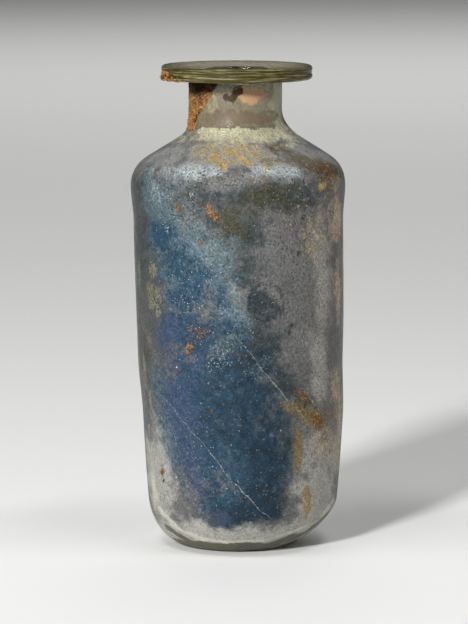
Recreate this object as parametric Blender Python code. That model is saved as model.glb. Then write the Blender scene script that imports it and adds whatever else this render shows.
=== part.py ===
# A free-blown Roman glass bottle of the kind called an unguentarium: a tall
# cylindrical body with a rounded heel, a sloping shoulder, a short wide neck
# and a broad flat rim folded from two layers of glass. The vessel is one
# piece of glass, hollow and empty, with burial soil still caked on its neck
# and rim. It stands on the flat ring around the pushed-in middle of its base.
#
# Metres, +Z up. The origin is on the surface that the bottle stands on, under
# the middle of its shoulder. Azimuth 0 faces -Y, and azimuth 90 faces +X.

import math

import bmesh
import bpy
from mathutils import Vector

# Body
FOOT_RADIUS = 0.0165  # outer edge of the flat ring that it stands on
FOOT_WIDTH = 0.0022
HEEL_RADIUS = 0.0297
HEEL_HEIGHT = 0.0150
BODY_RADIUS = 0.0326  # at the waist, just under the shoulder
TAPER_POWER = 2.6  # the higher, the longer the body stays wide downwards
SHOULDER_HEIGHT = 0.1128  # of the widest place
SHOULDER_LIP = 0.0007  # how far the shoulder stands out past the waist
LIP_HEIGHT = 0.0108  # from the waist up to the widest place
WAIST_HEIGHT = SHOULDER_HEIGHT - LIP_HEIGHT
SHOULDER_ROUND = 0.0104
SHOULDER_SLOPE = 32.0  # degrees above level

# Neck and rim
NECK_RADIUS = 0.0139
NECK_FILLET = 0.0100  # where the neck rises from the shoulder
NECK_LENGTH = 0.0094  # the straight stretch under the rim
RIM_RADIUS = 0.0233
RIM_UPPER_LAYER = 0.0022  # the rim is folded from two layers of glass
RIM_LOWER_LAYER = 0.0022
RIM_FOLD_DEPTH = 0.00025  # of the groove between the two layers
RIM_DISH_DEPTH = 0.0012  # how far the rim's top sinks towards the mouth
RIM_FILLET = 0.0008  # where the rim's underside meets the neck
MOUTH_ROUND = 0.0009

# Glass
BODY_WALL = 0.0018
NECK_WALL = 0.0022
BASE_THICKNESS = 0.0034
KICK_HEIGHT = 0.0024  # how far the middle of the base is pushed in

# A free-blown vessel is never quite round or upright. Each sway is how far
# that section stands off to the right of the shoulder's middle.
FOOT_SWAY = -0.0006
LOW_SWAY = 0.0015
LOW_HEIGHT = 0.0400
MIDDLE_SWAY = 0.0006
MIDDLE_HEIGHT = 0.0600
SLOPE_SWAY = 0.0006
RIM_SWAY = -0.0004  # of the neck and the rim
UNEVENNESS = 0.00012

# Burial soil
SOIL_DEPTH = 0.0009
NECK_SOIL_LENGTH = 0.0150  # down from the rim's underside
NECK_SOIL_TOP = (-118.0, -28.0)  # azimuths of its two edges under the rim
NECK_SOIL_TIP = -66.0  # azimuth of its lowest point
RIM_SOIL = (-88.0, -50.0)  # azimuths of its two ends on the rim's edge
SOIL_EDGE = 8.0  # degrees over which the soil thins out

# How finely the shapes are divided
SIDES = 60
HEEL_POWER = 1.6  # of the heel's superellipse, where 2 is an ellipse and 1 a bevel
HEEL_STEPS = 8
WALL_STEPS = 5
LIP_STEPS = 4
ARC_STEPS = 6
NECK_STEPS = 5
ROLL_STEPS = 4
KICK_STEPS = 4


def smooth_step(value):
    """Rises from 0 to 1 as the value does, level at both ends."""
    held = min(1.0, max(0.0, value))
    return held * held * (3.0 - 2.0 * held)


def mix(first, second, share):
    return first + (second - first) * share


def steps(count, first=0):
    """The shares first/count, ..., 1."""
    return [number / count for number in range(first, count + 1)]


def arc(centre, radius, start, end, count):
    """Points on a round stretch of the outline, without its first point."""
    turns = [math.radians(mix(start, end, share)) for share in steps(count, 1)]
    return [
        (centre[0] + radius * math.cos(turn), centre[1] + radius * math.sin(turn))
        for turn in turns
    ]


def base_outline():
    """From the middle of the base, down the pushed-in dome and over the foot."""
    inner = FOOT_RADIUS - FOOT_WIDTH
    dome = [
        (inner * share, KICK_HEIGHT * (0.5 + 0.5 * math.cos(math.pi * share)))
        for share in steps(KICK_STEPS)
    ]
    return dome + [(FOOT_RADIUS, 0.0)]


def heel_outline():
    """A superellipse that leaves the foot level and ends upright."""
    power = 2.0 / HEEL_POWER
    points = []
    for share in steps(HEEL_STEPS, 1):
        turn = math.pi / 2 * share
        out = math.sin(turn) ** power
        up = 1.0 - math.cos(turn) ** power
        points.append((mix(FOOT_RADIUS, HEEL_RADIUS, out), HEEL_HEIGHT * up))
    return points


def wall_radius(height):
    """The body widens upwards ever more slowly, and then swells to the shoulder's lip."""
    below = max(0.0, WAIST_HEIGHT - height) / (WAIST_HEIGHT - HEEL_HEIGHT)
    narrowing = (BODY_RADIUS - HEEL_RADIUS) * below**TAPER_POWER
    above = (height - WAIST_HEIGHT) / (SHOULDER_HEIGHT - WAIST_HEIGHT)
    return BODY_RADIUS - narrowing + SHOULDER_LIP * smooth_step(above)


def wall_outline():
    heights = [mix(HEEL_HEIGHT, WAIST_HEIGHT, share) for share in steps(WALL_STEPS, 1)]
    heights += [
        mix(WAIST_HEIGHT, SHOULDER_HEIGHT, share) for share in steps(LIP_STEPS, 1)
    ]
    return [(wall_radius(height), height) for height in heights]


def shoulder_outline():
    """The shoulder's round, its straight slope and the fillet up into the neck.

    The slope touches both rounds, which settles how high the neck begins."""
    turn = 90.0 - SHOULDER_SLOPE
    across, up = math.sin(math.radians(turn)), math.cos(math.radians(turn))
    centre = (BODY_RADIUS + SHOULDER_LIP - SHOULDER_ROUND, SHOULDER_HEIGHT)
    rounded = arc(centre, SHOULDER_ROUND, 0.0, turn, ARC_STEPS)
    slope_foot = rounded[-1]
    slope_top_radius = NECK_RADIUS + NECK_FILLET * (1.0 - up)
    run = (slope_foot[0] - slope_top_radius) / across
    slope_top = (slope_top_radius, slope_foot[1] + run * up)
    fillet_centre = (NECK_RADIUS + NECK_FILLET, slope_top[1] + NECK_FILLET * across)
    middle = tuple(mix(a, b, 0.5) for a, b in zip(slope_foot, slope_top))
    fillet = arc(fillet_centre, NECK_FILLET, 180.0 + turn, 180.0, ARC_STEPS)
    return rounded + [middle, slope_top] + fillet


def neck_outline(foot_height):
    top = NECK_LENGTH - RIM_FILLET
    return [(NECK_RADIUS, foot_height + top * share) for share in steps(NECK_STEPS, 1)]


def rim_outline(underside):
    """From the underside's fillet, around the two folded layers, to the mouth's edge."""
    lower, upper = RIM_LOWER_LAYER / 2, RIM_UPPER_LAYER / 2
    top = underside + RIM_LOWER_LAYER + RIM_UPPER_LAYER
    lower_roll = (RIM_RADIUS - lower, underside + lower)
    upper_roll = (RIM_RADIUS - upper, top - upper)
    lower_fold = math.degrees(math.acos(1.0 - RIM_FOLD_DEPTH / lower))
    upper_fold = math.degrees(math.acos(1.0 - RIM_FOLD_DEPTH / upper))
    fillet_centre = (NECK_RADIUS + RIM_FILLET, underside - RIM_FILLET)
    mouth = NECK_RADIUS - NECK_WALL + MOUTH_ROUND
    sunk = top - RIM_DISH_DEPTH
    points = arc(fillet_centre, RIM_FILLET, 180.0, 90.0, 2)
    points.append((mix(NECK_RADIUS, lower_roll[0], 0.6), underside))
    points.append((lower_roll[0], underside))
    points += arc(lower_roll, lower, -90.0, lower_fold, ROLL_STEPS)
    points += arc(upper_roll, upper, -upper_fold, 90.0, ROLL_STEPS)
    points.append((mix(mouth, upper_roll[0], 0.45), mix(sunk, top, 0.75)))
    points.append((mouth, sunk))
    points += arc((mouth, sunk - MOUTH_ROUND), MOUTH_ROUND, 90.0, 180.0, 3)
    return points


def outward_normals(outline):
    """The outward direction at each point of an outline that runs outwards and up."""
    normals = []
    for index in range(len(outline)):
        before = outline[max(0, index - 1)]
        after = outline[min(len(outline) - 1, index + 1)]
        along = Vector((after[0] - before[0], after[1] - before[1])).normalized()
        normals.append(Vector((along.y, -along.x)))
    return normals


def wall_thickness(height, neck_foot):
    """The glass is thickest in the base, thins up the heel and thickens up the neck."""
    if height < HEEL_HEIGHT:
        return mix(BASE_THICKNESS, BODY_WALL, smooth_step(height / HEEL_HEIGHT))
    climbed = (height - SHOULDER_HEIGHT) / (neck_foot - SHOULDER_HEIGHT)
    return mix(BODY_WALL, NECK_WALL, smooth_step(climbed))


def inner_outline(outer, neck_foot):
    """The outside carried inwards by the wall, from the neck down to the floor's middle."""
    points = []
    for (radius, height), normal in zip(outer, outward_normals(outer)):
        wall = wall_thickness(height, neck_foot)
        points.append((radius - normal.x * wall, height - normal.y * wall))
    points[0] = (0.0, KICK_HEIGHT + BASE_THICKNESS)
    return points[::-1]


def bottle_outline():
    """The whole outline, from the middle of the underside round to the floor inside."""
    base = base_outline()
    foot_to_neck = heel_outline() + wall_outline() + shoulder_outline()
    neck_foot = foot_to_neck[-1][1]
    neck = neck_outline(neck_foot)
    underside = neck_foot + NECK_LENGTH
    # Every second point of the curved stretches is enough inside.
    inside = (base + foot_to_neck)[:-1:2] + [foot_to_neck[-1], neck[-1]]
    outside = base + foot_to_neck + neck + rim_outline(underside)
    return outside + inner_outline(inside, neck_foot), neck_foot


def sway_at(height, neck_foot):
    """How far the middle of the section at this height stands off to the right."""
    stations = [
        (0.0, FOOT_SWAY),
        (HEEL_HEIGHT, LOW_SWAY),
        (LOW_HEIGHT, LOW_SWAY),
        (MIDDLE_HEIGHT, MIDDLE_SWAY),
        (SHOULDER_HEIGHT, 0.0),
        (mix(SHOULDER_HEIGHT, neck_foot, 0.6), SLOPE_SWAY),
        (neck_foot, RIM_SWAY),
    ]
    for (low, low_sway), (high, high_sway) in zip(stations, stations[1:]):
        if height < high:
            return mix(low_sway, high_sway, smooth_step((height - low) / (high - low)))
    return RIM_SWAY


def unevenness_at(azimuth, height):
    """The blown wall's own swell and dip, as two slow waves around and up the body."""
    turn = math.radians(azimuth)
    climb = height / (BODY_RADIUS + SHOULDER_LIP)
    waves = math.sin(2.0 * turn + 1.1 * climb) + 0.6 * math.sin(3.0 * turn - 1.7 * climb)
    return UNEVENNESS * waves


def thinned(azimuth, first, last):
    """Rises from 0 at both ends of a stretch of azimuths to 1 within it."""
    return smooth_step(min(azimuth - first, last - azimuth) / SOIL_EDGE)


def neck_soil_at(azimuth, height, underside):
    """The soil on the neck is a wedge that narrows downwards to its tip."""
    share = (height - underside + NECK_SOIL_LENGTH) / NECK_SOIL_LENGTH
    if not 0.0 < share <= 1.0:
        return 0.0
    first = mix(NECK_SOIL_TIP, NECK_SOIL_TOP[0], share**0.8)
    last = mix(NECK_SOIL_TIP, NECK_SOIL_TOP[1], share**0.8)
    return SOIL_DEPTH * thinned(azimuth, first, last)


def rim_soil_at(azimuth, height, underside):
    """The soil on the rim's edge, which leaves its upper third bare."""
    top = underside + RIM_LOWER_LAYER + RIM_UPPER_LAYER
    if not underside <= height < mix(underside, top, 0.66):
        return 0.0
    return SOIL_DEPTH * thinned(azimuth, RIM_SOIL[0], RIM_SOIL[1])


def soil_at(azimuth, radius, height, underside):
    if radius > RIM_RADIUS - RIM_UPPER_LAYER:
        return rim_soil_at(azimuth, height, underside)
    if NECK_RADIUS - NECK_WALL / 2 < radius < NECK_RADIUS + NECK_FILLET / 2:
        return neck_soil_at(azimuth, height, underside)
    return 0.0


def shape_by_hand(mesh, neck_foot):
    """Turns the true figure of revolution into the swayed, uneven and soiled vessel."""
    for vertex in mesh.verts:
        radius = math.hypot(vertex.co.x, vertex.co.y)
        height = vertex.co.z
        azimuth = math.degrees(math.atan2(vertex.co.x, -vertex.co.y))
        if radius > 0.0:
            swell = unevenness_at(azimuth, height) * smooth_step(height / HEEL_HEIGHT)
            soil = soil_at(azimuth, radius, height, neck_foot + NECK_LENGTH)
            grown = radius + swell + soil
            vertex.co.x *= grown / radius
            vertex.co.y *= grown / radius
        vertex.co.x += sway_at(height, neck_foot)


def glass_material():
    material = bpy.data.materials.new("weathered_glass")
    material.use_nodes = True
    shader = material.node_tree.nodes["Principled BSDF"]
    shader.inputs["Base Color"].default_value = (0.24, 0.32, 0.38, 1.0)
    shader.inputs["Roughness"].default_value = 0.35
    shader.inputs["Metallic"].default_value = 0.0
    return material


def make_bottle():
    outline, neck_foot = bottle_outline()
    mesh = bmesh.new()
    points = [mesh.verts.new((radius, 0.0, height)) for radius, height in outline]
    edges = [mesh.edges.new(pair) for pair in zip(points, points[1:])]
    bmesh.ops.spin(
        mesh,
        geom=points + edges,
        cent=(0.0, 0.0, 0.0),
        axis=(0.0, 0.0, 1.0),
        dvec=(0.0, 0.0, 0.0),
        angle=math.tau,
        steps=SIDES,
        use_merge=True,
    )
    bmesh.ops.remove_doubles(mesh, verts=mesh.verts, dist=1e-6)
    bmesh.ops.recalc_face_normals(mesh, faces=mesh.faces)
    shape_by_hand(mesh, neck_foot)
    bmesh.ops.triangulate(mesh, faces=mesh.faces)
    data = bpy.data.meshes.new("bottle")
    mesh.to_mesh(data)
    mesh.free()
    data.materials.append(glass_material())
    data.shade_smooth()
    data.set_sharp_from_angle(angle=math.radians(40.0))
    bottle = bpy.data.objects.new("bottle", data)
    bpy.context.scene.collection.objects.link(bottle)
    return bottle


for old in list(bpy.data.objects):
    bpy.data.objects.remove(old, do_unlink=True)
make_bottle()
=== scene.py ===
import math

import bmesh
import bpy
import numpy as np
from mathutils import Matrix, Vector


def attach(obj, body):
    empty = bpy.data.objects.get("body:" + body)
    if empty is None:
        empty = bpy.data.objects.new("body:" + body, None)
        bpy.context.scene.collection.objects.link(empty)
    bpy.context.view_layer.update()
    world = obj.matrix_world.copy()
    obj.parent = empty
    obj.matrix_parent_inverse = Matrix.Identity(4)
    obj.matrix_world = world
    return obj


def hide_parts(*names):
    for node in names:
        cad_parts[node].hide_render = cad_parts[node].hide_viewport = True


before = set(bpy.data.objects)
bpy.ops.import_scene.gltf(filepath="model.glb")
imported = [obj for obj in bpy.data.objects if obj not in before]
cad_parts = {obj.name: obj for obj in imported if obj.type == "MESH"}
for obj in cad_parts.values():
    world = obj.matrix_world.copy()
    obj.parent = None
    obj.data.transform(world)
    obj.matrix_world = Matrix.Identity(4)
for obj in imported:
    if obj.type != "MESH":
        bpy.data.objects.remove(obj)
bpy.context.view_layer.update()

# Metres and degrees. Azimuth 0 faces the camera (-Y), and azimuth 90 is the bottle's right (+X).


# shape of the bottle

bottleSizes = {
    "footRadius": 0.0165,
    "footWidth": 0.0022,
    "heelRadius": 0.0297,
    "heelHeight": 0.0150,
    "heelPower": 1.6,
    "bodyRadius": 0.0326,
    "waistHeight": 0.1020,
    "taperPower": 2.6,
    "shoulderHeight": 0.1128,
    "shoulderLip": 0.0007,
    "shoulderRound": 0.0104,
    "shoulderSlope": 32.0,
    "neckRadius": 0.0139,
    "neckFillet": 0.0100,
    "neckLength": 0.0094,
    "rimRadius": 0.0233,
    "upperLayer": 0.0022,
    "lowerLayer": 0.0022,
    "foldDepth": 0.00025,
    "dishDepth": 0.0012,
    "rimFillet": 0.0008,
    "mouthRound": 0.0009,
    "bodyWall": 0.0018,
    "neckWall": 0.0022,
    "baseThickness": 0.0034,
    "kickHeight": 0.0024,
    "unevenness": 0.00012,
}


def smoothStep(x):
    # 3x^2 - 2x^3 between 0 and 1
    held = np.clip(x, 0.0, 1.0)
    return held * held * (3.0 - 2.0 * held)


def mix(first, second, share):
    # first + (second - first) * share
    return first + (second - first) * share


def arcOf(centre, radius, start, end, count):
    # centre + radius * (cos t, sin t), with t from start to end, without the first point
    turn = np.radians(np.linspace(start, end, count + 1)[1:])
    return np.stack([centre[0] + radius * np.cos(turn), centre[1] + radius * np.sin(turn)], 1)


def wallRadius(height):
    # body radius - narrowing * below^power + the shoulder's lip
    s = bottleSizes
    below = np.maximum(0.0, s["waistHeight"] - height) / (s["waistHeight"] - s["heelHeight"])
    above = (height - s["waistHeight"]) / (s["shoulderHeight"] - s["waistHeight"])
    narrowing = (s["bodyRadius"] - s["heelRadius"]) * below ** s["taperPower"]
    return s["bodyRadius"] - narrowing + s["shoulderLip"] * smoothStep(above)


def wallThickness(height, neckFoot):
    # base to body over the heel, then body to neck over the shoulder
    s = bottleSizes
    low = mix(s["baseThickness"], s["bodyWall"], smoothStep(height / s["heelHeight"]))
    climbed = (height - s["shoulderHeight"]) / (neckFoot - s["shoulderHeight"])
    high = mix(s["bodyWall"], s["neckWall"], smoothStep(climbed))
    return np.where(height < s["heelHeight"], low, high)


def baseCurve(count=14):
    # kick * (1 + cos(pi r / inner)) / 2, then the flat foot
    s = bottleSizes
    share = np.linspace(0.0, 1.0, count)
    inner = s["footRadius"] - s["footWidth"]
    dome = np.stack([inner * share, s["kickHeight"] * (0.5 + 0.5 * np.cos(np.pi * share))], 1)
    return np.vstack([dome, [[s["footRadius"], 0.0]]])


def heelCurve(count=26):
    # superellipse: (sin t)^(2/p) outwards and 1 - (cos t)^(2/p) upwards
    s = bottleSizes
    turn = np.linspace(0.0, np.pi / 2, count + 1)[1:]
    power = 2.0 / s["heelPower"]
    out = mix(s["footRadius"], s["heelRadius"], np.sin(turn) ** power)
    up = s["heelHeight"] * (1.0 - np.clip(np.cos(turn), 0.0, 1.0) ** power)
    return np.stack([out, up], 1)


def wallCurve(count=120):
    # wallRadius from the heel to the shoulder
    s = bottleSizes
    height = np.linspace(s["heelHeight"], s["shoulderHeight"], count + 1)[1:]
    return np.stack([wallRadius(height), height], 1)


def shoulderCurve():
    # round, straight slope that touches both rounds, and fillet
    s = bottleSizes
    turn = 90.0 - s["shoulderSlope"]
    across, up = math.sin(math.radians(turn)), math.cos(math.radians(turn))
    centre = (s["bodyRadius"] + s["shoulderLip"] - s["shoulderRound"], s["shoulderHeight"])
    rounded = arcOf(centre, s["shoulderRound"], 0.0, turn, 22)
    slopeFoot = rounded[-1]
    topRadius = s["neckRadius"] + s["neckFillet"] * (1.0 - up)
    run = (slopeFoot[0] - topRadius) / across
    slopeTop = np.array([topRadius, slopeFoot[1] + run * up])
    slope = slopeFoot + (slopeTop - slopeFoot) * np.linspace(0.0, 1.0, 21)[1:, None]
    centre = (s["neckRadius"] + s["neckFillet"], slopeTop[1] + s["neckFillet"] * across)
    fillet = arcOf(centre, s["neckFillet"], 180.0 + turn, 180.0, 20)
    return np.vstack([rounded, slope, fillet])


def neckCurve(neckFoot, count=20):
    # straight up from the shoulder's fillet to the rim's
    s = bottleSizes
    height = neckFoot + (s["neckLength"] - s["rimFillet"]) * np.linspace(0.0, 1.0, count + 1)[1:]
    return np.stack([np.full(count, s["neckRadius"]), height], 1)


def rimCurve(underside):
    # fillet, flat underside, two rounded layers with the fold between them, dished top, mouth
    s = bottleSizes
    lower, upper = s["lowerLayer"] / 2, s["upperLayer"] / 2
    top = underside + s["lowerLayer"] + s["upperLayer"]
    lowerFold = math.degrees(math.acos(1.0 - s["foldDepth"] / lower))
    upperFold = math.degrees(math.acos(1.0 - s["foldDepth"] / upper))
    centre = (s["neckRadius"] + s["rimFillet"], underside - s["rimFillet"])
    fillet = arcOf(centre, s["rimFillet"], 180.0, 90.0, 5)
    flat = np.linspace(fillet[-1][0], s["rimRadius"] - lower, 12)[1:]
    flat = np.stack([flat, np.full(len(flat), underside)], 1)
    lowerRoll = arcOf((s["rimRadius"] - lower, underside + lower), lower, -90.0, lowerFold, 9)
    upperRoll = arcOf((s["rimRadius"] - upper, top - upper), upper, -upperFold, 90.0, 12)
    mouth = s["neckRadius"] - s["neckWall"] + s["mouthRound"]
    sunk = top - s["dishDepth"]
    share = np.linspace(0.0, 1.0, 14)[1:]
    dish = np.stack([mix(upperRoll[-1][0], mouth, share), mix(top, sunk, smoothStep(share))], 1)
    lip = arcOf((mouth, sunk - s["mouthRound"]), s["mouthRound"], 90.0, 180.0, 6)
    return np.vstack([fillet, flat, lowerRoll, upperRoll, dish, lip])


def outwardNormals(curve):
    # the tangent turned by a right angle
    along = np.gradient(curve, axis=0)
    along /= np.linalg.norm(along, axis=1, keepdims=True)
    return np.stack([along[:, 1], -along[:, 0]], 1)


footToNeck = np.vstack([heelCurve(), wallCurve(), shoulderCurve()])
neckFoot = footToNeck[-1][1]
underside = neckFoot + bottleSizes["neckLength"]
rimTop = underside + bottleSizes["lowerLayer"] + bottleSizes["upperLayer"]
outside = np.vstack([baseCurve(), footToNeck, neckCurve(neckFoot)])
inside = outside - outwardNormals(outside) * wallThickness(outside[:, 1], neckFoot)[:, None]
inside[0] = (0.0, bottleSizes["kickHeight"] + bottleSizes["baseThickness"])


def swayAt(height):
    # smooth steps between stations, sideways
    s = bottleSizes
    stations = [
        (0.0, -0.0006),
        (s["heelHeight"], 0.0015),
        (0.0400, 0.0015),
        (0.0600, 0.0006),
        (s["shoulderHeight"], 0.0),
        (mix(s["shoulderHeight"], neckFoot, 0.6), 0.0006),
        (neckFoot, -0.0004),
    ]
    sway = np.full(np.shape(height), stations[0][1])
    for (low, lowSway), (high, highSway) in zip(stations, stations[1:]):
        step = mix(lowSway, highSway, smoothStep((height - low) / (high - low)))
        sway = np.where(height >= low, step, sway)
    return sway


def unevennessAt(azimuth, height):
    # sin(2a + 1.1h) + 0.6 sin(3a - 1.7h), fading out towards the foot
    s = bottleSizes
    turn = np.radians(azimuth)
    climb = height / (s["bodyRadius"] + s["shoulderLip"])
    waves = np.sin(2.0 * turn + 1.1 * climb) + 0.6 * np.sin(3.0 * turn - 1.7 * climb)
    return s["unevenness"] * waves * smoothStep(height / s["heelHeight"])


def inPlace(radius, height, azimuth):
    # (radius + unevenness) * (sin a, -cos a) + sway, height
    radius, height, azimuth = np.broadcast_arrays(radius, height, azimuth)
    grown = radius + np.where(radius > 0.0, unevennessAt(azimuth, height), 0.0)
    turn = np.radians(azimuth)
    return np.stack([grown * np.sin(turn) + swayAt(height), -grown * np.cos(turn), height], -1)


# meshes from grids

def gridMesh(name, grid, closeAround=True, masks=None):
    # one quad for each cell of a rows x columns grid, and the columns may close in a ring
    rows, columns = grid.shape[:2]
    number = np.arange(rows * columns).reshape(rows, columns)
    right = np.roll(number, -1, axis=1) if closeAround else number[:, 1:]
    left = number if closeAround else number[:, :-1]
    quads = np.stack([left[:-1], right[:-1], right[1:], left[1:]], -1).reshape(-1, 4)
    mesh = bpy.data.meshes.new(name)
    mesh.vertices.add(rows * columns)
    mesh.vertices.foreach_set("co", grid.reshape(-1).astype(np.float32))
    mesh.loops.add(quads.size)
    mesh.loops.foreach_set("vertex_index", quads.reshape(-1).astype(np.int32))
    mesh.polygons.add(len(quads))
    mesh.polygons.foreach_set("loop_start", np.arange(0, quads.size, 4, dtype=np.int32))
    mesh.update(calc_edges=True)
    for key, values in (masks or {}).items():
        vector = values.ndim == 3
        layer = mesh.attributes.new(key, "FLOAT_VECTOR" if vector else "FLOAT", "POINT")
        layer.data.foreach_set("vector" if vector else "value", values.reshape(-1).astype(np.float32))
    return mesh


def finished(mesh, material, body="root"):
    # a smooth object at the origin that rides on a body
    mesh.validate()
    mesh.shade_smooth()
    mesh.materials.append(material)
    piece = bpy.data.objects.new(mesh.name, mesh)
    bpy.context.scene.collection.objects.link(piece)
    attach(piece, body)
    return piece


# noise worked out on points

def latticeNoise(points, size, seed):
    # random values on a cubic lattice, blended by smoothStep of the place in the cell
    cell = points / size
    base = np.floor(cell).astype(np.int64)
    part = smoothStep(cell - base)
    total = np.zeros(points.shape[:-1])
    for corner in np.ndindex(2, 2, 2):
        key = (base + corner) * np.array([73856093, 19349663, 83492791])
        key = (key[..., 0] ^ key[..., 1] ^ key[..., 2]) + seed * 2654435761
        key = ((key ^ (key >> 15)) * 2246822519) & 0xFFFFFFFF
        key = ((key ^ (key >> 13)) * 3266489917) & 0xFFFFFFFF
        weight = np.prod(np.where(corner, part, 1.0 - part), axis=-1)
        total += weight * ((key ^ (key >> 16)) & 0xFFFF) / 65535.0
    return total


def fractalNoise(points, size, seed, octaves=4):
    # sum of lattice noises, each half as large and half as strong, about -0.5 to 0.5
    total, reach = np.zeros(points.shape[:-1]), 0.0
    for octave in range(octaves):
        strength = 0.5**octave
        total += strength * (latticeNoise(points, size * strength, seed + octave) - 0.5)
        reach += strength
    return total / reach * 1.6


# helpers for materials

def fill(tree, socket, value):
    # a link where another socket is given, and otherwise the value itself
    if hasattr(value, "is_linked"):
        tree.links.new(value, socket)
    else:
        socket.default_value = value


def fillAll(tree, node, values):
    # inputs of a node by name or number
    for key, value in values.items():
        fill(tree, node.inputs[key], value)


def addNode(tree, kind, inputs=None, **settings):
    # a node with its settings, then with its inputs
    made = tree.nodes.new(kind)
    for key, value in settings.items():
        setattr(made, key, value)
    fillAll(tree, made, inputs or {})
    return made


def newGroup(name, inputs, outputs):
    # an empty node group, with its own inputs and outputs named
    tree = bpy.data.node_groups.new(name, "ShaderNodeTree")
    for key, kind, value in inputs:
        socket = tree.interface.new_socket(key, in_out="INPUT", socket_type="NodeSocket" + kind)
        if value is not None:
            socket.default_value = value
    for key, kind in outputs:
        tree.interface.new_socket(key, in_out="OUTPUT", socket_type="NodeSocket" + kind)
    return tree, tree.nodes.new("NodeGroupInput").outputs, tree.nodes.new("NodeGroupOutput").inputs


def maths(tree, operation, first, second=0.0, third=0.0, clamp=False):
    # one step of arithmetic
    numbers = {0: first, 1: second, 2: third}
    return addNode(tree, "ShaderNodeMath", numbers, operation=operation, use_clamp=clamp).outputs[0]


def times(tree, first, second):
    # first * second
    return maths(tree, "MULTIPLY", first, second)


def timesPlus(tree, first, second, third, clamp=False):
    # first * second + third
    return maths(tree, "MULTIPLY_ADD", first, second, third, clamp)


def oneMinus(tree, value):
    # 1 - value
    return maths(tree, "SUBTRACT", 1.0, value)


def colourMix(tree, factor, first, second, blend="MIX"):
    # the first colour at factor 0 and the second at factor 1
    inputs = {0: factor, 6: first, 7: second}
    return addNode(tree, "ShaderNodeMix", inputs, data_type="RGBA", blend_type=blend).outputs[2]


def maskNamed(tree, key):
    # a value kept on the mesh's points
    return addNode(tree, "ShaderNodeAttribute", attribute_name=key).outputs["Fac"]


def rgb(red, green, blue):
    # a colour without see-through
    return (red, green, blue, 1.0)


# effects that several materials share

def makeGrainGroup():
    # (noise - 0.5) * contrast + 0.5, for noise of a size in metres
    tree, given, out = newGroup(
        "grainNoise",
        [("Vector", "Vector", None), ("Size", "Float", 0.001), ("Detail", "Float", 4.0),
         ("Contrast", "Float", 1.0)],
        [("Value", "Float")],
    )
    noise = addNode(tree, "ShaderNodeTexNoise", {
        "Vector": given["Vector"],
        "Scale": maths(tree, "DIVIDE", 1.0, given["Size"]),
        "Detail": given["Detail"],
        "Roughness": 0.6,
    })
    middle = maths(tree, "SUBTRACT", noise.outputs[0], 0.5)
    tree.links.new(timesPlus(tree, middle, given["Contrast"], 0.5, clamp=True), out["Value"])
    return tree


def makeBrokenGroup():
    # mask + (noise - 0.5) * amount, cut by a smooth step from 0.5 - softness to 0.5 + softness
    tree, given, out = newGroup(
        "brokenEdge",
        [("Vector", "Vector", None), ("Mask", "Float", 0.0), ("Size", "Float", 0.001),
         ("Amount", "Float", 0.6), ("Softness", "Float", 0.15)],
        [("Mask", "Float")],
    )
    noise = grain(tree, given["Vector"], given["Size"], 5.0, 2.0)
    moved = timesPlus(tree, maths(tree, "SUBTRACT", noise, 0.5), given["Amount"], given["Mask"])
    low = maths(tree, "SUBTRACT", 0.5, given["Softness"])
    high = maths(tree, "ADD", 0.5, given["Softness"])
    cut = addNode(
        tree, "ShaderNodeMapRange", {0: moved, 1: low, 2: high}, interpolation_type="SMOOTHSTEP"
    )
    there = maths(tree, "MULTIPLY", given["Mask"], 5.0, clamp=True)
    tree.links.new(times(tree, cut.outputs[0], there), out["Mask"])
    return tree


def makeSpeckleGroup():
    # round specks: cells of a Voronoi pattern whose own random number is under the coverage
    tree, given, out = newGroup(
        "speckle",
        [("Vector", "Vector", None), ("Size", "Float", 0.001), ("Coverage", "Float", 0.2),
         ("Fill", "Float", 0.35)],
        [("Mask", "Float"), ("Random", "Float")],
    )
    scale = maths(tree, "DIVIDE", 1.0, given["Size"])
    cells = addNode(tree, "ShaderNodeTexVoronoi", {"Vector": given["Vector"], "Scale": scale})
    parts = addNode(tree, "ShaderNodeSeparateColor", {0: cells.outputs["Color"]})
    chosen = maths(tree, "LESS_THAN", parts.outputs[0], given["Coverage"])
    reach = timesPlus(tree, parts.outputs[1], given["Fill"], 0.08)
    edges = {0: cells.outputs["Distance"], 1: times(tree, reach, 0.5), 2: reach, 3: 1.0, 4: 0.0}
    cut = addNode(tree, "ShaderNodeMapRange", edges, interpolation_type="SMOOTHSTEP")
    tree.links.new(times(tree, chosen, cut.outputs[0]), out["Mask"])
    tree.links.new(parts.outputs[2], out["Random"])
    return tree


def grain(tree, place, size, detail=4.0, contrast=1.0):
    # the shared noise, from 0 to 1
    inputs = {"Vector": place, "Size": size, "Detail": detail, "Contrast": contrast}
    return addNode(tree, "ShaderNodeGroup", inputs, node_tree=grainGroup).outputs[0]


def broken(tree, place, mask, size, amount=0.6, softness=0.15):
    # a mask whose edge the shared noise breaks up
    inputs = {"Vector": place, "Mask": mask, "Size": size, "Amount": amount, "Softness": softness}
    return addNode(tree, "ShaderNodeGroup", inputs, node_tree=brokenGroup).outputs[0]


def speckle(tree, place, size, coverage, reach=0.35):
    # the specks' mask, and a random number for each cell
    inputs = {"Vector": place, "Size": size, "Coverage": coverage, "Fill": reach}
    made = addNode(tree, "ShaderNodeGroup", inputs, node_tree=speckleGroup)
    return made.outputs["Mask"], made.outputs["Random"]


grainGroup = makeGrainGroup()
brokenGroup = makeBrokenGroup()
speckleGroup = makeSpeckleGroup()


def newMaterial(name):
    # a material, its nodes, its shader and the place on the object
    material = bpy.data.materials.new(name)
    material.use_nodes = True
    tree = material.node_tree
    place = addNode(tree, "ShaderNodeTexCoord").outputs["Object"]
    return material, tree, tree.nodes["Principled BSDF"], place


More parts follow.
